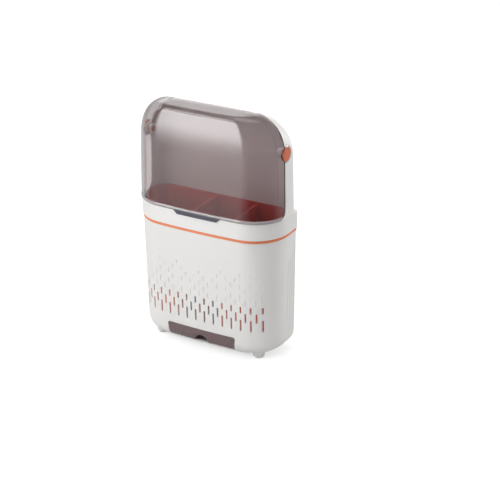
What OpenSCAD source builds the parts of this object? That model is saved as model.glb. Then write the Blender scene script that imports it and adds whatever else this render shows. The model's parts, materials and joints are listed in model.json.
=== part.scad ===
// Chopstick and cutlery holder with a flip lid, a lift-out basket and a drip tray.
// Millimetres. X to the right, Y to the back, Z up, origin on the floor under the middle.

/* [Overall] */
// Width over the collar
overall_w = 190; // [170:1:220]
// Depth from the lid grip to the flat back
overall_d = 72; // [68:1:90]
// Height from the floor to the top of the closed lid
overall_h = 300; // [290:1:340]

/* [Plan outline] */
// Radius of the gentle bow across the front
bow_r = 860; // [500:10:1500]
// Radius of the two front corners of the collar, seen from above
front_corner_r = 44; // [34:1:46]
// Radius of the two rear corners of the collar, seen from above
rear_corner_r = 5; // [3:0.5:8]

/* [Body] */
// Height of the body's top edge above the floor
body_top = 154.5; // [148:0.5:162]
// Wall thickness of the body
body_wall = 2.2; // [1.6:0.1:3]
// How far the body stands in from the collar above it
body_inset = 1.25; // [0.8:0.05:2.4]
// How far the front wall runs back for each millimetre down
body_lean = 0.024; // [0:0.002:0.04]
// How far each side wall runs in for each millimetre down
body_taper = 0.007; // [0:0.001:0.02]
// Radius of the bottom corners in the front view
body_side_r = 18; // [14:1:26]
// Radius under the front of the body
body_front_r = 14; // [8:1:16]
// Radius under the back of the body
body_rear_r = 9; // [5:1:12]

/* [Vent slots and dimples] */
// Distance between neighbouring columns
column_pitch = 6; // [5.5:0.1:6.4]
// Width of a vent slot
slot_w = 2.2; // [1.6:0.1:3]
// Bare width left at each side of the slot columns
slot_margin = 15; // [13:0.5:30]
// Lowest point of the slots, above the floor
slot_low = 39.5; // [37:0.5:43]
// Length of the slots in the lowest row
slot_low_len = 15.5; // [10:0.5:17]
// Length of the slots in the middle row
slot_mid_len = 12.5; // [8:0.5:14]
// Length of the slots in the upper row
slot_high_len = 9; // [6:0.5:11]
// Distance from the start of one slot row to the start of the next
slot_row_step = 11.75; // [11:0.25:13]
// Width of a dimple above the slots
dimple_w = 1.6; // [1:0.1:2]
// Depth of a dimple in the front wall
dimple_depth = 0.7; // [0.4:0.1:1]
// Number of flutes down each side of the body
flute_count = 8; // [4:1:9]
// Distance between neighbouring flutes
flute_pitch = 5.2; // [4:0.1:5.4]

/* [Basket] */
// Thickness of the flange that shows as a ring under the collar
flange_t = 3.7; // [2:0.1:4.2]
// How far the flange's edge stands in from the collar
flange_inset = 0.75; // [0.3:0.05:1.2]
// Wall thickness of the basket
basket_wall = 1.8; // [1.4:0.1:2.4]
// How far the basket's wall stands in from the collar's outside
basket_inset = 5.6; // [5.5:0.1:6.5]
// Radius of the basket's rear corners, seen from above
basket_rear_r = 19; // [5:1:19]
// How far the basket's top edge stands above the collar
basket_rise = 1.5; // [0:0.5:3]
// Height of the basket's floor above the ground
basket_floor = 31; // [30.5:0.5:35]
// Place of the left divider across the width
divider_left_x = -9; // [-30:1:0]
// Place of the right divider across the width
divider_right_x = 45; // [25:1:55]
// Thickness of a divider
divider_t = 1.6; // [1.2:0.1:2.4]

/* [Upper frame] */
// Height of the collar above the basket's flange
collar_h = 20; // [16:0.2:24]
// Wall thickness of the collar
collar_wall = 3.2; // [2.4:0.1:3.4]
// Wall thickness of the back shell
shell_wall = 2; // [1.6:0.1:2.4]
// How far the back shell stands in from the collar
shell_inset = 3; // [2.9:0.1:3.2]
// How far each side of the back shell runs in for each millimetre up
shell_taper = 0.03; // [0.02:0.002:0.034]
// Rounding radius of the back shell's rear edges
shell_rear_r = 7; // [4:0.5:9]
// Distance of the shell's front edge behind the hinge axis
shell_back = 3; // [0:0.5:5]
// Radius in which the shell's side walls sweep forward to the collar
shell_foot_r = 12; // [6:1:14]

/* [Lid] */
// Wall thickness of the lid
lid_wall = 2.2; // [1.6:0.1:2.4]
// How far the lid's rim stands out from the collar
rim_proud = 0.9; // [0.6:0.1:1.2]
// Height of the thicker band along the lid's lower edge
rim_h = 3.5; // [2:0.5:6]
// Corner radius of the lid's arch in the front view
arch_r = 42; // [36:1:44]
// How far the lid's front runs back from its rim to its top
lid_lean = 5.5; // [2:0.5:7]
// Width of the border that runs round the lid along its rear edge
border_w = 11; // [6:0.5:14]
// Half the width of the grip strip at its upper edge
grip_half_w = 31.5; // [24:0.5:40]
// Height of the grip strip
grip_h = 4.6; // [3.6:0.1:6]
// How far the grip strip hangs below the lid's rim
grip_drop = 4; // [2:0.2:5]

/* [Hinge] */
// Distance of the hinge axis below the top of the closed lid
hinge_drop = 44.5; // [42:0.5:48]
// Distance of the hinge axis from the flat back
hinge_in = 29; // [27:0.5:30]
// How far the lid's rear edge stands ahead of the hinge axis
lid_ahead = 4.5; // [3:0.5:6]
// Radius of the hinge pin's shank
pin_r = 3; // [2.5:0.1:3.5]
// Radius of the hinge pin's round head
pin_head_r = 8.5; // [7:0.5:9]
// Radius of the lid's ear around the pin's head
ear_r = 10.5; // [10:0.5:11.5]

/* [Drip tray] */
// Half the width of the tray's front at its upper edge
tray_half_w = 46; // [38:1:48]
// Height of the tray's underside above the floor
tray_low = 12; // [11:0.1:13]
// Height of the tray's front
tray_h = 16.5; // [12:0.5:17]
// Wall thickness of the tray
tray_wall = 1.8; // [1.4:0.1:2.2]
// Width of the finger grip in the tray's front
finger_w = 18; // [14:1:24]

/* [Feet] */
// Radius of a foot
foot_r = 6.8; // [5:0.2:7.2]
// Height of a foot below the body
foot_h = 6; // [4:0.5:7]
// Distance of the feet in from each side
foot_side_in = 28; // [25:1:35]
// Distance of the front pair of feet from the front
foot_front_in = 28; // [25:0.5:31]
// Distance of the rear pair of feet from the flat back
foot_rear_in = 18; // [17:0.5:24]

/* [Hidden] */

// Thin slice that a lofted shell is stretched over
slice = 0.02;
// Cutters run this far past the face that they open
past = 2;
// Gap between flat faces of parts that slide on each other
slide_gap = 0.3;
// Radial clearance of the lid's ear on the hinge pin
pin_gap = 0.05;
// Radial clearance of a pin or stem in the piece that holds it
seat_gap = 0.02;

grip_proud = 0.3;
half_w = overall_w / 2;
rear_y = overall_d / 2;
hinge_z = overall_h - hinge_drop;
hinge_y = rear_y - hinge_in;
collar_front = -overall_d / 2 + grip_proud + rim_proud;
collar_half_w = half_w;
body_low = foot_h;
flange_low = body_top;
collar_low = flange_low + flange_t;
collar_top = collar_low + collar_h;
lid_low = collar_top + slide_gap;

// Points on an arc round (cx, cy) from angle a0 to a1
function arc(cx, cy, r, a0, a1, n) =
    [for (i = [0:n]) let (a = a0 + (a1 - a0) * i / n) [cx + r * cos(a), cy + r * sin(a)]];

// Outline seen from above: a bowed front, two large front corners, straight sides and a flat back
function outline(hw, front, rear, bow, rc, rear_r) =
    let (cx = hw - rc)
    let (cy = front + bow - sqrt((bow - rc) * (bow - rc) - cx * cx))
    let (a = atan2(cy - front - bow, cx))
    let (rr = min(rear_r, rear - cy))
    concat(
        arc(0, front + bow, bow, -180 - a, a, 8),
        [for (p = arc(cx, cy, rc, a, 0, 10)) if (p[0] > cx) p],
        arc(hw - rr, rear - rr, rr, 0, 90, 5),
        arc(rr - hw, rear - rr, rr, 90, 180, 5),
        [for (p = arc(-cx, cy, rc, 180, 180 - a, 10)) if (p[1] < cy + 0.001) p]
    );

// Depth of that outline's front edge at a distance x from the middle
function front_at(x, hw, front, bow, rc) =
    let (cx = hw - rc)
    let (cy = front + bow - sqrt((bow - rc) * (bow - rc) - cx * cx))
    let (touch = cx * bow / (bow - rc))
    abs(x) < touch
        ? front + bow - sqrt(bow * bow - x * x)
        : cy - sqrt(max(rc * rc - (abs(x) - cx) * (abs(x) - cx), 0));

// Collar outline moved inwards by t, outwards where t is negative
module collar_outline(t) {
    polygon(outline(collar_half_w - t, collar_front + t, rear_y - max(t, 0), bow_r - t,
                    front_corner_r - t, max(rear_corner_r - t, 1)));
}

// How far a rounded bottom edge of radius r has drawn in at the height h above the bottom
function drawn_in(h, r) = h >= r ? 0 : r - sqrt(r * r - (r - h) * (r - h));

// Body form: its front and sides at height z, its rounded underside, moved inwards by t
function body_half_w(z) = collar_half_w - body_inset - body_taper * (body_top - z);
function body_front(z) = collar_front + body_inset + body_lean * (body_top - z);
body_rear = rear_y - body_inset / 2;

module body_form(t, top) {
    low = body_low + t;
    hull() {
        for (a = [0:15:90]) {
            h = (body_side_r - t) * (1 - cos(a));
            body_slice(low + h, h, t);
        }
        body_slice(top, top - low, t);
    }
}

// One level of the body form at height z, h above its underside
module body_slice(z, h, t) {
    under_front = drawn_in(h, body_front_r - t);
    under_side = drawn_in(h, body_side_r - t);
    under_rear = drawn_in(h, body_rear_r - t);
    translate([0, 0, z])
        linear_extrude(slice)
            polygon(outline(body_half_w(z) - t - under_side, body_front(z) + t + under_front,
                            body_rear - t - under_rear, bow_r - t,
                            front_corner_r - body_inset - t - under_front, rear_corner_r));
}

// Upright slot with round ends, w wide and len long, cut towards the back from y0 to y1
module slot(x, z0, len, w, y0, y1) {
    ends = concat(arc(0, len - w / 2, w / 2, 0, 180, 6), arc(0, w / 2, w / 2, 180, 360, 6));
    translate([x, y1, z0])
        rotate([90, 0, 0])
            linear_extrude(y1 - y0)
                polygon(ends);
}

// Columns on each side of the middle that carry vent slots
slot_columns = floor((collar_half_w - slot_margin) / column_pitch);
slot_high = slot_low + 2 * slot_row_step;
vent_back = collar_front + basket_inset + body_lean * body_top + past;

// Vent slots: odd columns have a low and a high slot, even columns one between them
module vent_slots() {
    for (k = [-slot_columns:slot_columns]) {
        x = k * column_pitch;
        y1 = front_at(x, body_half_w(slot_low), body_front(slot_low), bow_r, front_corner_r) + 4 * past;
        if (abs(k) % 2 == 1) {
            slot(x, slot_low, slot_low_len, slot_w, collar_front - past, y1);
            slot(x, slot_high, slot_high_len, slot_w, collar_front - past, y1);
        } else {
            slot(x, slot_low + slot_row_step, slot_mid_len, slot_w, collar_front - past, y1);
        }
    }
}

// Dimple rows above the slots: length and distance between rows
dimple_len = [7, 6, 4.7];
dimple_row_step = 14.6;
dimple_low = slot_high + slot_high_len + 1.6;
// Rows of dimples in each column, counted from the middle outwards, 1 where the row has one
dimple_rows = [[1, 1, 1], [1, 1, 0], [1, 1, 0], [0, 1, 0], [1, 1, 1], [0, 0, 1], [1, 1, 1],
               [1, 1, 0], [1, 0, 1], [1, 1, 1], [1, 1, 0], [1, 1, 1], [1, 0, 0], [1, 1, 0]];

module dimples() {
    for (k = [-slot_columns:slot_columns], row = [0:2]) {
        if (dimple_rows[abs(k) % len(dimple_rows)][row] == 1) {
            x = k * column_pitch;
            odd_shift = abs(k) % 2 == 0 ? 0 : slot_row_step / 2 + 1;
            z = dimple_low + row * dimple_row_step + odd_shift;
            mid = z + dimple_len[row] / 2;
            face = front_at(x, body_half_w(mid), body_front(mid), bow_r, front_corner_r - body_inset);
            slot(x, z, dimple_len[row], dimple_w, collar_front - past, face + dimple_depth);
        }
    }
}

// Flutes down the sides: the rear ones start higher than the front ones
flute_r = 1.4;
flute_depth = 0.45;
flute_low = body_low + body_side_r;
flute_top = 134;
flute_top_step = 4.5;
flute_rear_y = rear_y - 7;

module flutes() {
    for (side = [-1, 1], i = [0:flute_count - 1]) {
        top = flute_top - i * flute_top_step;
        translate([side * (body_half_w(flute_low) + flute_r - flute_depth), flute_rear_y - i * flute_pitch, flute_low])
            rotate([0, side * atan(body_taper), 0])
                cylinder(h = top - flute_low, r = flute_r, $fn = 24);
    }
}

// Ribs on the body's floor that the tray slides on
rail_x = 30;
rail_w = 3;
rail_front = body_front(tray_low) + body_front_r + 2;

module tray_rails() {
    for (side = [-1, 1])
        translate([side * rail_x - rail_w / 2, rail_front, body_low + body_wall / 2])
            cube([rail_w, body_rear - body_wall - 1 - rail_front, tray_low - body_low - body_wall / 2]);
}

// Front view of the tray's front, grown by t all round
tray_slant = 1.3;
tray_corner_r = 3;

module tray_front_outline(t) {
    top = tray_low + tray_h + t;
    low = tray_low - t;
    hw = tray_half_w + t;
    points = concat([[hw - tray_slant, low]],
                    arc(hw - tray_corner_r, top - tray_corner_r, tray_corner_r, 0, 90, 4),
                    arc(tray_corner_r - hw, top - tray_corner_r, tray_corner_r, 90, 180, 4),
                    [[tray_slant - hw, low]]);
    polygon(points);
}

// Feet: their places, and the bosses that carry them under the body's rounded edge
foot_stem_r = 2.5;
stem_h = 2.4;
foot_x = half_w - foot_side_in;
foot_front_y = foot_front_in - overall_d / 2;
foot_rear_y = rear_y - foot_rear_in;
foot_places = [[-foot_x, foot_front_y], [foot_x, foot_front_y], [-foot_x, foot_rear_y], [foot_x, foot_rear_y]];

module foot_bosses() {
    for (p = foot_places)
        translate([p[0], p[1], body_low])
            cylinder(h = body_front_r, r = foot_r, $fn = 48);
}

// Lower casing: an open-topped shell with vents, dimples, side flutes and the tray's opening
module body_shell() {
    color([0.92, 0.915, 0.905])
    difference() {
        union() {
            difference() {
                union() {
                    body_form(0, body_top - slice);
                    foot_bosses();
                }
                body_form(body_wall, body_top + past);
            }
            tray_rails();
        }
        vent_slots();
        dimples();
        flutes();
        translate([0, rail_front, 0])
            rotate([90, 0, 0])
                linear_extrude(overall_d)
                    tray_front_outline(slide_gap);
        for (p = foot_places)
            translate([p[0], p[1], body_low - past])
                cylinder(h = stem_h + slide_gap + past, r = foot_stem_r + seat_gap, $fn = 32);
    }
}

// Basket form: it leans and tapers with the body, moved inwards by t
basket_edge_r = 4;
basket_top = collar_top + basket_rise;

module basket_form(t, low, top) {
    hull() {
        for (a = [0, 30, 60, 90]) {
            h = basket_edge_r * (1 - cos(a));
            basket_slice(low + h, t + drawn_in(h, basket_edge_r));
        }
        basket_slice(body_top, t);
        basket_slice(top - slice, t);
    }
}

module basket_slice(z, t) {
    down = max(body_top - z, 0);
    inset = basket_inset + t;
    translate([0, 0, z])
        linear_extrude(slice)
            polygon(outline(collar_half_w - inset - body_taper * down,
                            collar_front + inset + body_lean * down, rear_y - inset,
                            bow_r - inset, front_corner_r - inset, basket_rear_r - t));
}

// Window columns in the middle of the basket's front wall, one behind each vent column
window_columns = 4;
window_w = 4;
window_low = slot_low - 1;
window_len = slot_high + slot_high_len + 1 - window_low;

module basket_windows() {
    y0 = collar_front + body_inset + body_wall;
    for (k = [-window_columns:window_columns])
        slot(k * column_pitch, window_low, window_len, window_w, y0, vent_back + 3 * past);
}

// Drain holes through the basket's floor
drain_pitch = 10;
drain_columns = 7;
drain_len = 14;
drain_w = 3;
drain_rows_y = [-13, 7];

module drain_holes() {
    for (k = [-drain_columns:drain_columns], y = drain_rows_y) {
        x = k * drain_pitch;
        clear_left = abs(x - divider_left_x) > drain_w;
        clear_right = abs(x - divider_right_x) > drain_w;
        if (clear_left && clear_right)
            translate([x, y, basket_floor - past])
                linear_extrude(basket_wall + 2 * past)
                    polygon(concat(arc(0, drain_len - drain_w / 2, drain_w / 2, 0, 180, 6),
                                   arc(0, drain_w / 2, drain_w / 2, 180, 360, 6)));
    }
}

// Ribs on the basket's inner walls that hold a divider between them
rib_t = 1.2;
rib_reach = 2.4;
rib_top = basket_top - 12;
rib_outer = divider_t + 2 * (slide_gap + rib_t);
rib_inner = divider_t + 2 * slide_gap;

module divider_ribs(x) {
    intersection() {
        basket_form(basket_wall / 2, basket_floor + basket_wall / 2, basket_top);
        difference() {
            translate([x - rib_outer / 2, -overall_d, basket_floor + basket_wall / 2])
                cube([rib_outer, 2 * overall_d, rib_top - basket_floor - basket_wall / 2]);
            translate([x - rib_inner / 2, -overall_d, basket_floor - past])
                cube([rib_inner, 2 * overall_d, rib_top]);
            divider_gap();
        }
    }
}

// Space between the ribs of the front wall and those of the rear wall
module divider_gap() {
    front = collar_front + basket_inset + basket_wall + body_lean * (body_top - basket_floor) + rib_reach;
    rear = rear_y - basket_inset - basket_wall - rib_reach;
    translate([-overall_w, front, 0])
        cube([2 * overall_w, rear - front, overall_h]);
}

// Lift-out basket with the flange that hangs on the body's rim
module basket() {
    color([0.80, 0.30, 0.18])
    difference() {
        union() {
            difference() {
                union() {
                    basket_form(0, basket_floor, basket_top);
                    translate([0, 0, flange_low])
                        linear_extrude(flange_t)
                            collar_outline(flange_inset);
                }
                basket_form(basket_wall, basket_floor + basket_wall, basket_top + past);
            }
            divider_ribs(divider_left_x);
            divider_ribs(divider_right_x);
        }
        basket_windows();
        drain_holes();
    }
}

// Flat plate that fills the basket's section at x and drops in between the ribs
module divider(x) {
    color([0.82, 0.33, 0.20])
    intersection() {
        basket_form(basket_wall + slide_gap, basket_floor + basket_wall, basket_top - 1);
        translate([x - divider_t / 2, -overall_d, 0])
            cube([divider_t, 2 * overall_d, overall_h]);
    }
}

// Back shell: an arch in the front view, its top turned about the hinge so that the lid swings over it
shell_front = hinge_y + shell_back;
shell_rear = rear_y - shell_inset / 2;
swing_gap = 2.8;
shell_top_r = hinge_drop - lid_wall - swing_gap;
shell_corner_r = front_corner_r - lid_wall - swing_gap / 2;
shell_low = collar_top - 8;

function shell_half_w(z) = collar_half_w - shell_inset - shell_taper * (z - collar_top);

module shell_form(t, front, rear) {
    hull() {
        shell_slice(front, 0, t, t);
        for (dy = [6, 12])
            shell_slice(hinge_y + dy, dy, t, t);
        for (a = [0:22.5:90]) {
            r = shell_rear_r - t / 2;
            y = rear - r + r * sin(a);
            shell_slice(y, y - hinge_y, t, t + r * (1 - cos(a)));
        }
    }
}

// One arch of the back shell at depth y, behind the hinge axis by dy
module shell_slice(y, dy, t, inset) {
    top = hinge_z + sqrt((shell_top_r - t) * (shell_top_r - t) - dy * dy) - (inset - t);
    corner = shell_corner_r - inset;
    hw = shell_half_w(top - corner) - inset;
    points = concat([[shell_half_w(shell_low) - inset, shell_low]],
                    arc(hw - corner, top - corner, corner, 0, 90, 10),
                    arc(corner - hw, top - corner, corner, 90, 180, 10),
                    [[inset - shell_half_w(shell_low), shell_low]]);
    translate([0, y + slice, 0])
        rotate([90, 0, 0])
            linear_extrude(slice)
                polygon(points);
}

// Cylinder along X on the hinge axis, from distance x0 to x1 on the given side
module on_hinge(side, x0, x1, r0, r1) {
    translate([side * x0, hinge_y, hinge_z])
        rotate([0, side * 90, 0])
            cylinder(h = x1 - x0, r1 = r0, r2 = r1, $fn = 48);
}

// Lid sizes: its half width, its front and its corner radius at height z, moved inwards by t
lid_rear = hinge_y - lid_ahead;
lid_side_in = 0.6;
lid_out = rim_proud - 0.5;
arch_z = overall_h - arch_r;
top_edge_r = 4;
top_corner_r = 16;

function lid_half_w(z, t) =
    let (low_w = collar_half_w + lid_out - lid_side_in * min((z - lid_low) / (arch_z - lid_low), 1))
    z <= arch_z
        ? low_w - t
        : low_w - arch_r + sqrt(max((arch_r - t) * (arch_r - t) - (z - arch_z) * (z - arch_z), 0));

function lid_front(z, t) =
    let (lean = lid_lean * (z - lid_low) / (overall_h - lid_low))
    let (h = overall_h - t - z)
    collar_front - lid_out + lean + t + drawn_in(h, top_edge_r);

function lid_corner(z, t) =
    let (up = min(max((z - arch_z) / (arch_r - t), 0), 1))
    top_corner_r - t + (front_corner_r - top_corner_r) * sqrt(1 - up * up);

// Half width of the lid's side wall at the depth y and the height z
function lid_side_at(y, z) =
    let (rc = lid_corner(z, 0))
    let (cx = lid_half_w(z, 0) - rc)
    let (cy = lid_front(z, 0) + bow_r - sqrt((bow_r - rc) * (bow_r - rc) - cx * cx))
    y < cy
        ? cx + sqrt(max(rc * rc - (cy - y) * (cy - y), 0))
        : cx + rc;

// Faces that stack up along the hinge axis, from the inside out
shell_in = shell_half_w(hinge_z) - shell_wall;
ear_in = lid_half_w(hinge_z, lid_wall);
ear_out = lid_half_w(hinge_z - ear_r, 0) - 1;
cheek_in = lid_side_at(lid_rear, hinge_z) - lid_wall;
boss_out = ear_in - slide_gap;
boss_in = shell_in - 5;
boss_r = 5.5;
shell_ear_r = 7.5;

// Side view of what is cut away ahead of the back shell, with the sweep down to the collar
module ahead_of_shell() {
    reach = 2 * overall_d;
    foot_z = collar_top + shell_foot_r;
    foot_y = shell_front - shell_foot_r;
    translate([-overall_w, 0, 0])
        rotate([90, 0, 90])
            linear_extrude(2 * overall_w)
                polygon(concat([[foot_y - reach, 0], [foot_y, 0]],
                               arc(foot_y, foot_z, shell_foot_r, -90, 0, 6),
                               [[shell_front, overall_h + past], [foot_y - reach, overall_h + past]]));
}

// Inside of the collar: its rear corners are as round as the shell's, so that they meet all round
module collar_inside() {
    polygon(outline(collar_half_w - collar_wall, collar_front + collar_wall, rear_y - collar_wall,
                    bow_r - collar_wall, front_corner_r - collar_wall, shell_rear_r + shell_wall));
}

// Collar and back shell, moulded as one, with an ear, a boss and a bore for each hinge pin
module upper_frame() {
    color([0.93, 0.925, 0.915])
    difference() {
        union() {
            translate([0, 0, collar_low])
                linear_extrude(collar_h)
                    difference() {
                        collar_outline(0);
                        collar_inside();
                    }
            difference() {
                shell_form(0, shell_front - shell_foot_r - past, shell_rear);
                shell_form(shell_wall, shell_front - shell_foot_r - 2 * past, shell_rear - shell_wall);
                ahead_of_shell();
            }
            for (side = [-1, 1]) {
                on_hinge(side, shell_in, shell_in + shell_wall, shell_ear_r, shell_ear_r);
                on_hinge(side, boss_in, boss_out, boss_r, boss_r);
            }
        }
        for (side = [-1, 1])
            on_hinge(side, boss_in - past, boss_out + past, pin_r + seat_gap, pin_r + seat_gap);
    }
}

// Lid form from the height low up, moved inwards by t: bowed front, large corners, an arch above
module lid_form(t, low, rear) {
    hull() {
        lid_slice(low, t, rear);
        lid_slice(arch_z, t, rear);
        for (a = [12:12:84])
            lid_slice(arch_z + (arch_r - t) * sin(a), t, rear);
        lid_slice(overall_h - t - slice, t, rear);
    }
}

// One level of the lid form: the outline's front part, squared off behind its corners
module lid_slice(z, t, rear) {
    hw = lid_half_w(z, t);
    front = lid_front(z, t);
    rc = lid_corner(z, t);
    cx = hw - rc;
    cy = front + bow_r - sqrt((bow_r - rc) * (bow_r - rc) - cx * cx);
    a = atan2(cy - front - bow_r, cx);
    translate([0, 0, z])
        linear_extrude(slice)
            polygon(concat(arc(0, front + bow_r, bow_r, -180 - a, a, 8),
                           arc(cx, cy, rc, a, 0, 9),
                           [[hw, max(rear, cy)], [-hw, max(rear, cy)]],
                           arc(-cx, cy, rc, 180, 180 - a, 9)));
}

// Rounds off the lower rear corner of the lid's side walls
lid_heel_r = 9;

module lid_heel_cut() {
    translate([-overall_w, lid_rear - lid_heel_r, lid_low - past])
        difference() {
            cube([2 * overall_w, lid_heel_r + 2 * past, lid_heel_r + past]);
            translate([-past, 0, lid_heel_r + past])
                rotate([0, 90, 0])
                    cylinder(h = 2 * overall_w + 2 * past, r = lid_heel_r, $fn = 64);
        }
}

// Everything ahead of the depth y
module ahead_of(y) {
    reach = 2 * overall_d;
    translate([-overall_w, y - reach, 0])
        cube([2 * overall_w, reach, 2 * overall_h]);
}

// The border along the lid's rear edge lies this much lower than the rest
border_step = 0.35;

// Ear round a pin's head; ahead of the lid's rear edge it reaches in to the side wall, so that it joins it
module lid_ear(side) {
    difference() {
        on_hinge(side, cheek_in, ear_out, ear_r, ear_r);
        translate([side * (ear_in + cheek_in - past) / 2, lid_rear + overall_d / 2, hinge_z])
            cube([ear_in - cheek_in + past, overall_d, 2 * ear_r + past], center = true);
    }
}

// Clear hood with a thicker rim, open at the back and below, and an ear round each hinge pin's head
module lid() {
    color([0.55, 0.47, 0.48, 0.55])
    difference() {
        union() {
            difference() {
                union() {
                    intersection() {
                        lid_form(0, lid_low, lid_rear);
                        ahead_of(lid_rear - border_w);
                    }
                    intersection() {
                        union() {
                            lid_form(border_step, lid_low, lid_rear + past);
                            translate([0, 0, lid_low])
                                linear_extrude(rim_h)
                                    collar_outline(-rim_proud);
                        }
                        ahead_of(lid_rear);
                    }
                }
                lid_form(lid_wall, lid_low - past, lid_rear + past);
            }
            for (side = [-1, 1])
                lid_ear(side);
        }
        for (side = [-1, 1])
            on_hinge(side, cheek_in - past, ear_out + past, pin_head_r + pin_gap, pin_head_r + pin_gap);
        lid_heel_cut();
        grip_form(seat_gap);
    }
}

// Grip strip: a bar that follows the bow below the rim, and a tongue that holds it in the rim
grip_slant = 5.5;
grip_t = 0.9;
tongue_in = 1;
tongue_h = 1.8;
grip_low = lid_low - grip_drop;

module grip_form(gap) {
    grip_strip(grip_low - gap, grip_low + grip_h + gap, -rim_proud - grip_proud - past * gap,
               grip_t - rim_proud - grip_proud + gap, gap);
    grip_strip(lid_low - gap, lid_low + tongue_h + gap, grip_t - rim_proud - grip_proud - slide_gap,
               tongue_in + gap, gap);
}

// Strip of the collar's outline between the heights low and top, and the insets t0 and t1
module grip_strip(low, top, t0, t1, gap) {
    intersection() {
        translate([0, 0, low])
            linear_extrude(top - low)
                difference() {
                    collar_outline(t0);
                    collar_outline(t1);
                }
        rotate([90, 0, 0])
            linear_extrude(overall_d)
                polygon([[-grip_half_w - gap, grip_low + grip_h + gap], [grip_slant - grip_half_w - gap, grip_low - gap],
                         [grip_half_w - grip_slant + gap, grip_low - gap], [grip_half_w + gap, grip_low + grip_h + gap],
                         [grip_half_w - grip_slant, top + gap], [grip_slant - grip_half_w, top + gap]]);
    }
}

module lid_grip() {
    color([0.17, 0.16, 0.23])
        grip_form(0);
}

// Hinge pin: a round head that the lid's ear turns on, a shank through the boss, and a snap end inside
head_edge = 0.4;
ring_out_r = pin_head_r - 1.8;
ring_in_r = pin_head_r - 2.6;
ring_depth = 0.3;
snap_r = pin_r + 0.6;
snap_t = 1.2;

module hinge_pin(side) {
    head_edge_x = ear_out - head_edge;
    snap_out = boss_in - slide_gap / 3;
    color([0.86, 0.38, 0.20])
    difference() {
        union() {
            on_hinge(side, boss_out, head_edge_x, pin_head_r, pin_head_r);
            on_hinge(side, head_edge_x, ear_out, pin_head_r, pin_head_r - head_edge);
            on_hinge(side, snap_out - snap_t, head_edge_x, pin_r, pin_r);
            on_hinge(side, snap_out - snap_t, snap_out, pin_r, snap_r);
        }
        difference() {
            on_hinge(side, ear_out - ring_depth, ear_out + past, ring_out_r, ring_out_r);
            on_hinge(side, 0, ear_out + 2 * past, ring_in_r, ring_in_r);
        }
    }
}

// Drip tray: a shallow box whose front follows the body's lower edge, with a finger grip
tray_rear = body_rear - body_rear_r - slide_gap;
tray_box_half_w = tray_half_w - tray_slant - 1;
tray_box_h = tray_h - 2;
tray_front_t = 2.4;
finger_r = finger_w / 2;

module drip_tray() {
    color([0.50, 0.42, 0.43, 0.6])
    difference() {
        union() {
            intersection() {
                difference() {
                    body_form(0.2, body_top);
                    body_form(0.2 + tray_front_t, body_top + past);
                }
                rotate([90, 0, 0])
                    linear_extrude(overall_d)
                        tray_front_outline(0);
            }
            tray_box(0, tray_low, tray_low + tray_box_h);
        }
        tray_box(tray_wall, tray_low + tray_wall, tray_low + tray_h + past);
        finger_cut();
    }
    tray_finger_shell();
}

// Box of the tray behind its front, its plan drawn in by t
module tray_box(t, low, top) {
    intersection() {
        translate([-tray_box_half_w + t, -overall_d, low])
            cube([2 * (tray_box_half_w - t), overall_d + tray_rear - t, top - low]);
        body_form(0.3 + t, body_top);
    }
}

// Hollow of the finger grip
module finger_cut() {
    translate([0, -overall_d, tray_low - slice])
        rotate([-90, 0, 0])
            cylinder(h = overall_d + body_front(tray_low) + body_front_r, r = finger_r, $fn = 48);
}

// Half-round wall that closes the finger grip off from the tray's inside
module tray_finger_shell() {
    back = body_front(tray_low) + body_front_r;
    color([0.50, 0.42, 0.43, 0.6])
    intersection() {
        difference() {
            translate([0, -overall_d, tray_low])
                rotate([-90, 0, 0])
                    cylinder(h = overall_d + back + tray_wall, r = finger_r + tray_wall, $fn = 48);
            finger_cut();
        }
        body_form(0.2, body_top);
        translate([-overall_w, -overall_d, tray_low])
            cube([2 * overall_w, 2 * overall_d, tray_h]);
    }
}

// Foot: a round pad with a rounded edge and a stem pressed into its boss
foot_edge_r = 2.4;

module foot(place) {
    profile = concat([[0, 0]],
                     arc(foot_r - foot_edge_r, foot_edge_r, foot_edge_r, -90, 0, 6),
                     [[foot_r, foot_h], [foot_stem_r, foot_h], [foot_stem_r, foot_h + stem_h], [0, foot_h + stem_h]]);
    color([0.86, 0.855, 0.85])
    translate([place[0], place[1], 0])
        rotate_extrude($fn = 48)
            polygon(profile);
}

body_shell();
basket();
divider(divider_left_x);  // divider_left
divider(divider_right_x);  // divider_right
upper_frame();
lid();
lid_grip();
hinge_pin(-1);  // hinge_pin_left
hinge_pin(1);  // hinge_pin_right
drip_tray();
foot(foot_places[0]);  // foot_front_left
foot(foot_places[1]);  // foot_front_right
foot(foot_places[2]);  // foot_rear_left
foot(foot_places[3]);  // foot_rear_right
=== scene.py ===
"""Chopstick holder with a flip lid: looks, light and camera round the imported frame.

Metres in the CAD frame, apart from the hood's mesh, which is worked out in mm.
"""
import bpy
import json
import math
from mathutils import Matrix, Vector


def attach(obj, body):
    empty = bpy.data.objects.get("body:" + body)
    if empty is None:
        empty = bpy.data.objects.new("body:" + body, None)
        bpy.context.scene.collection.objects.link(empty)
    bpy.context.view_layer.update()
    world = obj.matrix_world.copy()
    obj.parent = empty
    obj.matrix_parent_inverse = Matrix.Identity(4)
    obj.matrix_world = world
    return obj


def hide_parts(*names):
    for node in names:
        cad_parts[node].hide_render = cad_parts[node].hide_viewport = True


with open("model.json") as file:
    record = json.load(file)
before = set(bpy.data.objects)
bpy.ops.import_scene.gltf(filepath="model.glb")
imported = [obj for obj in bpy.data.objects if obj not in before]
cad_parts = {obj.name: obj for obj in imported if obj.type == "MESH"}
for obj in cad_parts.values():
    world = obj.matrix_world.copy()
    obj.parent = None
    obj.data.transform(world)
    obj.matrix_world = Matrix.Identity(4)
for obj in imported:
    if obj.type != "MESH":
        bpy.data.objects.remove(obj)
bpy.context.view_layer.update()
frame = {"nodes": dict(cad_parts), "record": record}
nodes = frame["nodes"]

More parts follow.
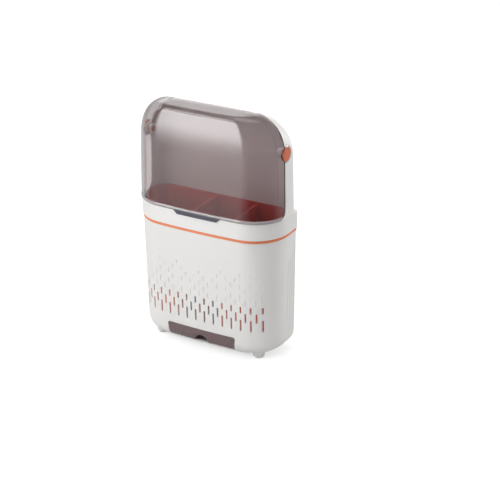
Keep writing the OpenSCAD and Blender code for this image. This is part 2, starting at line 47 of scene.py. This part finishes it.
MM_PER_M = 1000
WHITE = (1.0, 1.0, 1.0)
NEAR_BLACK = (0.02, 0.02, 0.02)

# Camera: it looks at AIM from the front right and above, and gives the photograph's view
AIM = Vector((0.050443, 0.0, 0.131646))
AZIMUTH = math.radians(29.109)
ELEVATION = math.radians(24.641)
DISTANCE = 1.58752
LENS_MM = 98.69
SENSOR_MM = 36.0
CLIP_START = 0.05

# Shading of the CAD nodes
WELD_DISTANCE = 2e-6
SHARP_ANGLE = math.radians(32.0)

# Moulded plastics: drift of the colour, uneven sheen, fine grain and slight waves
DRIFT_SCALE, DRIFT_LOW, DRIFT_HIGH = 14.0, 0.35, 0.65
SHEEN_SCALE, WAVE_SCALE = 60.0, 22.0
GRAIN_STRENGTH = 0.5
PLASTIC_IOR = 1.5
# Slot, two colours that drift into each other, roughness range, scale and depth of the grain
MOULDED = (
    ("white_shell", (0.885, 0.875, 0.857), (0.865, 0.856, 0.838), (0.38, 0.5), 1500.0, 0.000006),
    ("orange_pin", (0.70, 0.135, 0.035), (0.66, 0.12, 0.03), (0.28, 0.4), 1400.0, 0.00001),
    ("dark_grip", (0.03, 0.027, 0.045), (0.038, 0.034, 0.055), (0.3, 0.45), 1500.0, 0.00002),
    ("foot_pad", (0.80, 0.79, 0.775), (0.77, 0.76, 0.745), (0.6, 0.75), 900.0, 0.00003),
)

# Smoked plastics: drift of the colour, sheen, waves, and the painted light on the paler, hazier band
# along the lid's lower rim
SMOKED_DRIFT_SCALE, SMOKED_DRIFT_LOW, SMOKED_DRIFT_HIGH = 9.0, 0.3, 0.7
SMOKED_SHEEN_SCALE, SMOKED_WAVE_SCALE = 40.0, 16.0
SMOKED_WAVE_DEPTH, SMOKED_WAVE_STRENGTH = 0.0004, 0.25
SMOKED_IOR = 1.46
PAINTED_RIM_COLOUR, PAINTED_RIM_CLEARNESS, PAINTED_RIM_BLEND = (0.70, 0.67, 0.69), 0.55, 0.0001
# Slot, two colours, least roughness, haze, and the height below which it is paler and hazier,
# painted light on the lid's lower rim
SMOKED = (
    ("smoked_clear", (0.705, 0.63, 0.64), (0.69, 0.615, 0.625), 0.02, 0.0, 0.1822),
    ("smoked_tray", (0.46, 0.33, 0.34), (0.43, 0.305, 0.315), 0.12, 0.38, 0.0),
)

# Basket: its colours (the deeper red away from the ring is painted shade on its orange), sheen and
# grain, the ring's height range, and a painted glow of the outer wall behind the side slots, which
# little light reaches
RING_COLOUR, RING_TINT, BASKET_RED_WITH_PAINTED_SHADE = (0.86, 0.25, 0.10), (0.82, 0.23, 0.09), (0.70, 0.062, 0.042)
BASKET_SHEEN, BASKET_GRAIN, BASKET_GRAIN_DEPTH = (0.36, 0.48), 1200.0, 0.00001
OUTWARD_BLEND = 0.01
RING_LOW, RING_HIGH, RING_BLEND = 0.1535, 0.1590, 0.0005
PAINTED_GLOW_SIDE_FROM, PAINTED_GLOW_SIDE_TO = 0.021, 0.030
PAINTED_GLOW_MIDDLE_SHARE = 0.12
PAINTED_GLOW_TOP, PAINTED_GLOW_FADE, PAINTED_GLOW_STRENGTH = 0.090, 0.008, 0.13
PAINTED_GLOW_COLOUR = (0.9, 0.09, 0.05)

# Hood of the lid, in mm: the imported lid's sizes, with a softer bulge and a softer top edge
LID_LOW, LID_TOP, LID_REAR = 178.5, 300.0, 2.5
LID_WALL = 2.1
LOW_HALF_W, SIDE_IN = 95.4, 0.6
FRONT_Y, LEAN, BULGE = -35.2, 1.0, 6.0
BOW_R, CORNER_R, TOP_CORNER_R, ARCH_R, TOP_EDGE_R = 860.0, 44.0, 16.0, 42.0, 6.0
ARCH_Z = LID_TOP - ARCH_R
# Height over the lid's lower edge and how far the rim stands out there
RIM_ROWS = ((0.0, 0.35), (0.2, 0.5), (3.25, 0.5), (3.5, 0.3), (3.65, 0.0))
WALL_FROM = 5.0
HEEL_R = 9.0
BORDER_Y, BORDER_STEP = -8.5, 0.3
PIN_Y, PIN_Z, PIN_HOLE_R = 7.0, 255.5, 8.6
EAR_R, EAR_IN, EAR_OUT, EAR_EDGE = 10.4, 92.6, 93.9, 0.3
EAR_REACH = math.radians(117)
EAR_STEPS = 40
HOOD_SHARP_ANGLE = math.radians(50)

# Mesh steps of the hood: columns ahead of the border and in it, roof, walls, arch, bow and corner
COLS_FRONT, COLS_BORDER, COLS_ROOF = 46, 8, 60
ROWS_WALL, ROWS_ARCH = 44, 40
STEPS_BOW, STEPS_CORNER = 30, 60

# Stage
FLOOR_HALF = 6.0
FLOOR_COLOUR, FLOOR_TINT, FLOOR_SCALE = (0.62, 0.62, 0.62), (0.61, 0.61, 0.61), 3.0
FLOOR_ROUGHNESS, FLOOR_SPECULAR = 0.8, 0.2
FLOOR_LIFT = {"Is Camera Ray": 0.56, "Is Transmission Ray": 0.03, "Is Glossy Ray": 0.1}
WORLD_STRENGTH = 0.53
LIGHTS_AIM = (0, 0, 0.15)
# Name, place, size and power
LIGHTS = (
    ("key", (-1.1, -1.5, 1.5), (1.0, 1.0), 20.0),
    ("top", (0.0, 0.1, 1.9), (1.4, 1.4), 9.0),
    ("side", (0.8, 1.4, 0.5), (0.4, 0.8), 7.5),
)
# Painted reflections: soft_card and roof_card paint highlights on the lid, floor_card a lighter
# patch of floor, dark_card a dark patch to the right front
# Name, place, the point that it faces, size, colour, strength, and the share that doesn't fade
CARDS = (
    ("soft_card", (-0.42, -0.84, 0.27), (0, 0, 0.27), (1.1, 0.62), WHITE, 12.0, 0.35),
    ("roof_card", (-0.75, 1.2, 0.95), (0, 0, 0.3), (1.6, 1.4), WHITE, 1.7, 0.35),
    ("floor_card", (-0.47, -0.72, 0.003), (-0.47, -0.72, 1.0), (1.2, 1.2), WHITE, 1.8, 0.6),
    ("dark_card", (0.84, -0.68, 0.004), (0.84, -0.68, 1.0), (1.5, 1.4), NEAR_BLACK, 1.0, 0.9),
)


def add_object(name, data):
    """New object for the data, in the scene's collection."""
    obj = bpy.data.objects.new(name, data)
    bpy.context.scene.collection.objects.link(obj)
    return obj


def facing(place, target, axis):
    """Rotation at a place that turns the given axis to the target."""
    return (Vector(target) - Vector(place)).to_track_quat(axis, "Y").to_euler()


def make_camera():
    away = Vector((math.sin(AZIMUTH) * math.cos(ELEVATION),
                   -math.cos(AZIMUTH) * math.cos(ELEVATION),
                   math.sin(ELEVATION)))
    data = bpy.data.cameras.new("camera")
    data.lens = LENS_MM
    data.sensor_width = SENSOR_MM
    data.sensor_fit = "HORIZONTAL"
    data.clip_start = CLIP_START
    camera = add_object("camera", data)
    camera.location = AIM + away * DISTANCE
    camera.rotation_euler = (-away).to_track_quat("-Z", "Y").to_euler()
    bpy.context.scene.camera = camera


class Shader:
    """A node material built round one Principled shader.

    The values given to its methods are sockets or constants.
    """

    def __init__(self, name):
        self.material = bpy.data.materials.new(name)
        self.material.use_nodes = True
        self.tree = self.material.node_tree
        self.bsdf = self.tree.nodes["Principled BSDF"]
        place = self.node("TexCoord")
        self.coords = place.outputs["Object"]
        self.normal = place.outputs["Normal"]

    def node(self, kind, **settings):
        made = self.tree.nodes.new("ShaderNode" + kind)
        for key, value in settings.items():
            setattr(made, key, value)
        return made

    def feed(self, target, value):
        """Links a socket into the target, or sets a constant on it, a colour with its alpha."""
        if isinstance(value, bpy.types.NodeSocket):
            self.tree.links.new(value, target)
        elif target.type == "RGBA":
            target.default_value = (*value, 1)
        else:
            target.default_value = value

    def set(self, **values):
        """Feeds the Principled inputs of these names, with underscores for spaces."""
        for key, value in values.items():
            self.feed(self.bsdf.inputs[key.replace("_", " ")], value)
        return self.material

    def math(self, operation, *values):
        made = self.node("Math", operation=operation)
        for socket, value in zip(made.inputs, values):
            self.feed(socket, value)
        return made.outputs[0]

    def all_of(self, operation, values):
        """One value out of several, two at a time."""
        total = values[0]
        for value in values[1:]:
            total = self.math(operation, total, value)
        return total

    def axes(self):
        """The object coordinates as separate sockets."""
        made = self.node("SeparateXYZ")
        self.feed(made.inputs[0], self.coords)
        return made.outputs

    def noise(self, scale, detail):
        """Noise of about 1 / scale metres to a feature."""
        made = self.node("TexNoise")
        self.feed(made.inputs["Vector"], self.coords)
        self.feed(made.inputs["Scale"], scale)
        self.feed(made.inputs["Detail"], detail)
        return made.outputs["Fac"]

    def ramp(self, value, low, high, out_low, out_high, interpolation="LINEAR"):
        """Maps value from low..high to out_low..out_high."""
        made = self.node("MapRange", interpolation_type=interpolation)
        self.feed(made.inputs["Value"], value)
        self.feed(made.inputs["From Min"], low)
        self.feed(made.inputs["From Max"], high)
        self.feed(made.inputs["To Min"], out_low)
        self.feed(made.inputs["To Max"], out_high)
        return made.outputs["Result"]

    def mix(self, factor, first, second):
        """Blend of two colours."""
        made = self.node("Mix", data_type="RGBA")
        self.feed(made.inputs["Factor"], factor)
        self.feed(made.inputs["A"], first)
        self.feed(made.inputs["B"], second)
        return made.outputs["Result"]

    def drift(self, scale, low, high, first, second):
        """Colour that changes slowly over the surface from the first to the second."""
        return self.mix(self.ramp(self.noise(scale, 2.0), low, high, 0.0, 1.0), first, second)

    def sheen(self, scale, low, high):
        """Roughness that varies over the surface."""
        self.set(Roughness=self.ramp(self.noise(scale, 3.0), 0.3, 0.7, low, high))

    def bump(self, heights, distance, strength):
        """Sums the given heights into one bump of the given depth in metres."""
        made = self.node("Bump")
        self.feed(made.inputs["Distance"], distance)
        self.feed(made.inputs["Strength"], strength)
        self.feed(made.inputs["Height"], self.all_of("ADD", heights))
        self.set(Normal=made.outputs["Normal"])

    def plastic(self, sheen, grain, depth):
        """Uneven sheen, fine grain and slight waves of a moulded plastic."""
        self.sheen(SHEEN_SCALE, *sheen)
        self.bump([self.noise(grain, 4.0), self.noise(WAVE_SCALE, 1.0)], depth, GRAIN_STRENGTH)
        return self.set(IOR=PLASTIC_IOR)


def moulded(name, colour, tint, sheen, grain, depth):
    """Moulded plastic with a faint drift of its colour."""
    shader = Shader(name)
    shader.set(Base_Color=shader.drift(DRIFT_SCALE, DRIFT_LOW, DRIFT_HIGH, colour, tint))
    return shader.plastic(sheen, grain, depth)


def basket_plastic(name):
    """Orange on the outward ring at the flange's height, deeper red everywhere else as painted shade
    on the basket's orange, and a painted glow low on the outer wall behind the side slots.
    """
    shader = Shader(name)
    place = shader.axes()
    flat = shader.node("VectorMath", operation="MULTIPLY")
    shader.feed(flat.inputs[0], shader.coords)
    shader.feed(flat.inputs[1], (1, 1, 0))
    dot = shader.node("VectorMath", operation="DOT_PRODUCT")
    shader.feed(dot.inputs[0], flat.outputs[0])
    shader.feed(dot.inputs[1], shader.normal)
    outward = shader.ramp(dot.outputs["Value"], 0.0, OUTWARD_BLEND, 0.0, 1.0)
    above = shader.ramp(place["Z"], RING_LOW, RING_LOW + RING_BLEND, 0.0, 1.0)
    below = shader.ramp(place["Z"], RING_HIGH, RING_HIGH - RING_BLEND, 0.0, 1.0)
    on_ring = shader.all_of("MULTIPLY", [outward, above, below])
    orange = shader.drift(DRIFT_SCALE, DRIFT_LOW, DRIFT_HIGH, RING_COLOUR, RING_TINT)

    # Painted light: a faint red glow on the outward faces below a height, weaker in the middle
    aside = shader.math("ABSOLUTE", place["X"])
    sides = shader.ramp(aside, PAINTED_GLOW_SIDE_FROM, PAINTED_GLOW_SIDE_TO, PAINTED_GLOW_MIDDLE_SHARE, 1.0)
    foot = shader.ramp(place["Z"], PAINTED_GLOW_TOP, PAINTED_GLOW_TOP - PAINTED_GLOW_FADE, 0.0, PAINTED_GLOW_STRENGTH)
    # Painted shade: away from the ring the basket's orange is deepened to red
    shader.set(Base_Color=shader.mix(on_ring, BASKET_RED_WITH_PAINTED_SHADE, orange),
               Emission_Color=PAINTED_GLOW_COLOUR,
               Emission_Strength=shader.all_of("MULTIPLY", [sides, foot, outward]))
    return shader.plastic(BASKET_SHEEN, BASKET_GRAIN, BASKET_GRAIN_DEPTH)


def smoked(name, colour, tint, rough, haze, painted_rim_below):
    """Smoked plastic with slight waves, hazy by haze, and paler and hazier below a height, as
    painted light on the lid's thick lower rim.
    """
    shader = Shader(name)
    clear = shader.drift(SMOKED_DRIFT_SCALE, SMOKED_DRIFT_LOW, SMOKED_DRIFT_HIGH, colour, tint)
    # Painted light: below the height the plastic is paler and hazier, for the light that the thick
    # lower rim catches
    band = shader.ramp(shader.axes()["Z"], painted_rim_below, painted_rim_below + PAINTED_RIM_BLEND, 1.0, 0.0)
    shader.set(Base_Color=shader.mix(band, clear, PAINTED_RIM_COLOUR),
               Transmission_Weight=shader.ramp(band, 0.0, 1.0, 1.0 - haze, PAINTED_RIM_CLEARNESS))
    shader.sheen(SMOKED_SHEEN_SCALE, rough, rough * 2)
    waves = shader.noise(SMOKED_WAVE_SCALE, 1.0)
    shader.bump([waves], SMOKED_WAVE_DEPTH, SMOKED_WAVE_STRENGTH)
    return shader.set(IOR=SMOKED_IOR)


def make_materials():
    """One material for each material slot of the record, by slot."""
    made = {"orange_basket": basket_plastic("orange_basket")}
    for build, rows in ((moulded, MOULDED), (smoked, SMOKED)):
        for slot, *values in rows:
            made[slot] = build(slot, *values)
    return made


def shade_smooth(mesh):
    mesh.polygons.foreach_set("use_smooth", [True] * len(mesh.polygons))


def split_edges(obj, angle):
    """Keeps the edges sharper than the angle sharp."""
    obj.modifiers.new("edges", "EDGE_SPLIT").split_angle = angle


def dress_nodes(materials):
    """Material and smooth shading for each CAD node, with its vertices left alone."""
    slots = {row["node"]: row["material_slot"] for row in frame["record"]["subparts"]}
    for name, obj in nodes.items():
        mesh = obj.data
        mesh.materials.clear()
        mesh.materials.append(materials[slots[name]])
        if "custom_normal" in mesh.attributes:
            mesh.attributes.remove(mesh.attributes["custom_normal"])
        shade_smooth(mesh)
        obj.modifiers.new("weld", "WELD").merge_threshold = WELD_DISTANCE
        split_edges(obj, SHARP_ANGLE)
        obj.modifiers.new("normals", "WEIGHTED_NORMAL").keep_sharp = True


def arc_points(cx, cy, r, a0, a1, n):
    """Points at n even steps along an arc, from the angle a0 to a1."""
    angles = [a0 + (a1 - a0) * i / n for i in range(n + 1)]
    return [(cx + r * math.cos(a), cy + r * math.sin(a)) for a in angles]


def drop_of(r, h):
    """How far a rounded edge of radius r has drawn in at the height h from its end."""
    return r - math.sqrt(max(r ** 2 - (r - h) ** 2, 0)) if h < r else 0


def lid_rear_at(z):
    """Rear limit of the side walls: cut back round the pin's head and rounded at the heel."""
    rear = LID_REAR - drop_of(HEEL_R, z - LID_LOW)
    dz = z - PIN_Z
    if abs(dz) < PIN_HOLE_R:
        rear = min(rear, PIN_Y - math.sqrt(PIN_HOLE_R ** 2 - dz ** 2))
    return rear


def lid_row(z, t, out):
    """Right half of the lid's outline at height z, moved in by t and out by out: centre to rear."""
    low_w = LOW_HALF_W - SIDE_IN * min((z - LID_LOW) / (ARCH_Z - LID_LOW), 1)
    if z <= ARCH_Z:
        hw = low_w - t + out
    else:
        hw = low_w - ARCH_R + math.sqrt(max((ARCH_R - t) ** 2 - (z - ARCH_Z) ** 2, 0))
    s = (z - LID_LOW) / (LID_TOP - LID_LOW)
    front = FRONT_Y + LEAN * s + BULGE * s ** 3 + t - out + drop_of(TOP_EDGE_R, LID_TOP - t - z)
    up = min(max((z - ARCH_Z) / (ARCH_R - t), 0), 1)
    rc = TOP_CORNER_R - t + out + (CORNER_R - TOP_CORNER_R) * math.sqrt(1 - up * up)
    cx = hw - rc
    cy = front + BOW_R - math.sqrt((BOW_R - rc) ** 2 - cx ** 2)
    a = math.atan2(cy - front - BOW_R, cx)
    line = arc_points(0, front + BOW_R, BOW_R, -math.pi / 2, a, STEPS_BOW)
    line += arc_points(cx, cy, rc, a, 0, STEPS_CORNER)[1:]
    line.append((hw, max(cy, LID_REAR) + 1))
    border = cut_line(line, BORDER_Y, lid_rear_at(z), COLS_BORDER)
    return cut_line(line, None, BORDER_Y, COLS_FRONT) + border


def between(a, b, k):
    """Point at the share k of the way from a to b."""
    return tuple(p + k * (q - p) for p, q in zip(a, b))


def cut_line(line, y0, y1, count):
    """Points at even steps along the part of the line between the depths y0 and y1."""
    part = []
    for a, b in zip(line, line[1:]):
        for y in (y0, y1):
            if y is not None and a[1] < y <= b[1]:
                part.append((between(a, b, (y - a[1]) / (b[1] - a[1]))[0], y))
        if (y0 is None or b[1] > y0) and b[1] < y1:
            part.append(b)
    if y0 is None:
        part.insert(0, line[0])
    part.sort(key=lambda point: point[1])
    lengths = [0.0]
    for a, b in zip(part, part[1:]):
        lengths.append(lengths[-1] + math.dist(a, b))
    result = []
    at = 0
    for i in range(count + 1):
        want = lengths[-1] * i / count
        while at < len(part) - 2 and lengths[at + 1] < want:
            at += 1
        span = max(lengths[at + 1] - lengths[at], 1e-9)
        k = min(max((want - lengths[at]) / span, 0), 1)
        result.append(between(part[at], part[at + 1], k))
    return result


def lid_heights(t):
    """Heights of the rows and how far each stands out, for a wall moved in by t."""
    rows = [(LID_LOW + up, 0.0 if t else out) for up, out in RIM_ROWS]
    start = LID_LOW + WALL_FROM
    rows += [(start + (ARCH_Z - start) * i / ROWS_WALL, 0.0) for i in range(ROWS_WALL + 1)]
    rows += [(ARCH_Z + (LID_TOP - t - ARCH_Z) * math.sin(math.pi / 2 * i / ROWS_ARCH), 0.0)
             for i in range(1, ROWS_ARCH + 1)]
    return rows


class Skin:
    """Vertices in mm, and faces. Points that coincide are one vertex, and no face is empty."""

    def __init__(self):
        self.verts = []
        self.faces = []
        self.known = {}

    def point(self, x, y, z):
        key = (round(x, 5), round(y, 5), round(z, 5))
        if key not in self.known:
            self.known[key] = len(self.verts)
            self.verts.append((x, y, z))
        return self.known[key]

    def strip(self, first, second, flip=False):
        """Faces between two rows of vertices."""
        for i in range(len(first) - 1):
            face = list(dict.fromkeys((first[i], first[i + 1], second[i + 1], second[i])))
            if len(face) > 2:
                self.faces.append(face[::-1] if flip else face)

    def mesh(self, name):
        mesh = bpy.data.meshes.new(name)
        mesh.from_pydata([tuple(v / MM_PER_M for v in vert) for vert in self.verts], [], self.faces)
        mesh.validate()
        return mesh


def add_wall(skin, t):
    """One side of the hood's wall, moved in by t. Returns its rear edge and its lower edge."""
    inner = t > 0
    rows = []
    for z, out in lid_heights(t):
        half = []
        for j, (x, y) in enumerate(lid_row(z, t, out)):
            inset = BORDER_STEP if j > COLS_FRONT and not inner else 0.0
            half.append((max(x - inset, 0.0), y))
        row = [(-x, y) for x, y in reversed(half[1:])] + half
        rows.append([skin.point(x, y, z) for x, y in row])
    for lower, upper in zip(rows, rows[1:]):
        skin.strip(lower, upper, flip=inner)

    top = rows[-1]
    middle = len(top) // 2
    lines = [[top[middle]] * (COLS_ROOF + 1)]
    for j in range(1, middle + 1):
        left, right = top[middle - j], top[middle + j]
        drop = BORDER_STEP if j > COLS_FRONT and not inner else 0.0
        line = [left]
        for k in range(1, COLS_ROOF):
            x, y, z = between(skin.verts[left], skin.verts[right], k / COLS_ROOF)
            line.append(skin.point(x, y, z - drop))
        lines.append(line + [right])
    for near, far in zip(lines, lines[1:]):
        skin.strip(near, far, flip=inner)
    rear = [row[0] for row in rows] + lines[-1][1:-1] + [row[-1] for row in reversed(rows)]
    return rear, rows[0]


def add_ear(skin, side):
    """Open ring round a pin's head, from the side wall's rear edge round behind the head."""
    section = [(PIN_HOLE_R, EAR_IN), (EAR_R, EAR_IN), (EAR_R, EAR_OUT - EAR_EDGE),
               (EAR_R - EAR_EDGE, EAR_OUT), (PIN_HOLE_R, EAR_OUT)]
    right = side > 0
    rings = []
    for i in range(EAR_STEPS + 1):
        a = -EAR_REACH + 2 * EAR_REACH * i / EAR_STEPS
        rings.append([skin.point(side * x, PIN_Y + r * math.cos(a), PIN_Z + r * math.sin(a))
                      for r, x in section])
    for near, far in zip(rings, rings[1:]):
        skin.strip(near + near[:1], far + far[:1], flip=right)
    skin.faces.append(rings[0] if right else rings[0][::-1])
    skin.faces.append(rings[-1][::-1] if right else rings[-1])


def build_lid(material):
    """The lid's hood as one fine mesh, a closed shell and two ears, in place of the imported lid."""
    skin = Skin()
    rear_out, low_out = add_wall(skin, 0.0)
    rear_in, low_in = add_wall(skin, LID_WALL)
    skin.strip(rear_out, rear_in)
    skin.strip(low_out[::-1], low_in[::-1])
    for side in (-1, 1):
        add_ear(skin, side)
    mesh = skin.mesh("lid_hood")
    mesh.materials.append(material)
    shade_smooth(mesh)
    hood = add_object("lid_hood", mesh)
    split_edges(hood, HOOD_SHARP_ANGLE)
    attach(hood, "lid")
    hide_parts("lid")


def add_plane(name, half_x, half_y, material):
    """Flat rectangle round the origin."""
    mesh = bpy.data.meshes.new(name)
    corners = [(-half_x, -half_y, 0), (half_x, -half_y, 0),
               (half_x, half_y, 0), (-half_x, half_y, 0)]
    mesh.from_pydata(corners, [], [(0, 1, 2, 3)])
    mesh.materials.append(material)
    return add_object(name, mesh)


def make_floor():
    """Plain pale floor. What the camera sees of it is lifted to white, and the shadow stays."""
    shader = Shader("floor")
    path = shader.node("LightPath")
    lifts = [shader.math("MULTIPLY", path.outputs[ray], level) for ray, level in FLOOR_LIFT.items()]
    shader.set(Base_Color=shader.mix(shader.noise(FLOOR_SCALE, 2.0), FLOOR_COLOUR, FLOOR_TINT),
               Roughness=FLOOR_ROUGHNESS, Specular_IOR_Level=FLOOR_SPECULAR,
               Emission_Color=WHITE, Emission_Strength=shader.all_of("MAXIMUM", lifts))
    floor = add_plane("floor", FLOOR_HALF, FLOOR_HALF, shader.material)


def make_world():
    """Even light from all round, and white where the camera sees past the floor."""
    world = bpy.data.worlds.new("world")
    bpy.context.scene.world = world
    world.use_nodes = True
    tree = world.node_tree
    background = tree.nodes["Background"]
    background.inputs["Color"].default_value = (*WHITE, 1)
    path = tree.nodes.new("ShaderNodeLightPath")
    level = tree.nodes.new("ShaderNodeMapRange")
    level.inputs["To Min"].default_value = WORLD_STRENGTH
    level.inputs["To Max"].default_value = 1.0
    tree.links.new(path.outputs["Is Camera Ray"], level.inputs["Value"])
    tree.links.new(level.outputs["Result"], background.inputs["Strength"])


def make_lights():
    for name, place, size, power in LIGHTS:
        data = bpy.data.lights.new(name, "AREA")
        data.shape = "RECTANGLE"
        data.size, data.size_y = size
        data.energy = power
        light = add_object(name, data)
        light.location = place
        light.rotation_euler = facing(place, LIGHTS_AIM, "-Z")


def make_cards():
    """Cards that only show in reflections, full in the middle and fading to their edges."""
    for name, place, target, size, colour, strength, core in CARDS:
        half_x, half_y = size[0] / 2, size[1] / 2
        shader = Shader(name)
        where = shader.axes()
        fades = []
        for axis, half in (("X", half_x), ("Y", half_y)):
            aside = shader.math("ABSOLUTE", where[axis])
            fades.append(shader.ramp(aside, half, half * core, 0.0, 1.0, "SMOOTHSTEP"))
        level = shader.all_of("MULTIPLY", fades)
        glow = shader.node("Emission")
        shader.feed(glow.inputs["Color"], colour)
        shader.feed(glow.inputs["Strength"], shader.math("MULTIPLY", level, strength))
        mix = shader.node("MixShader")
        shader.feed(mix.inputs[0], level)
        shader.feed(mix.inputs[1], shader.node("BsdfTransparent").outputs[0])
        shader.feed(mix.inputs[2], glow.outputs[0])
        shader.tree.nodes.remove(shader.bsdf)
        shader.feed(shader.tree.nodes["Material Output"].inputs["Surface"], mix.outputs[0])
        card = add_plane(name, half_x, half_y, shader.material)
        card.location = place
        card.rotation_euler = facing(place, target, "Z")
        card.visible_camera = False
        card.visible_diffuse = False
        card.visible_transmission = False
        card.visible_shadow = False


make_camera()
materials = make_materials()
dress_nodes(materials)
make_floor()
make_world()
make_lights()
make_cards()
build_lid(materials["smoked_clear"])

bpy.context.scene.view_settings.view_transform = "Standard"
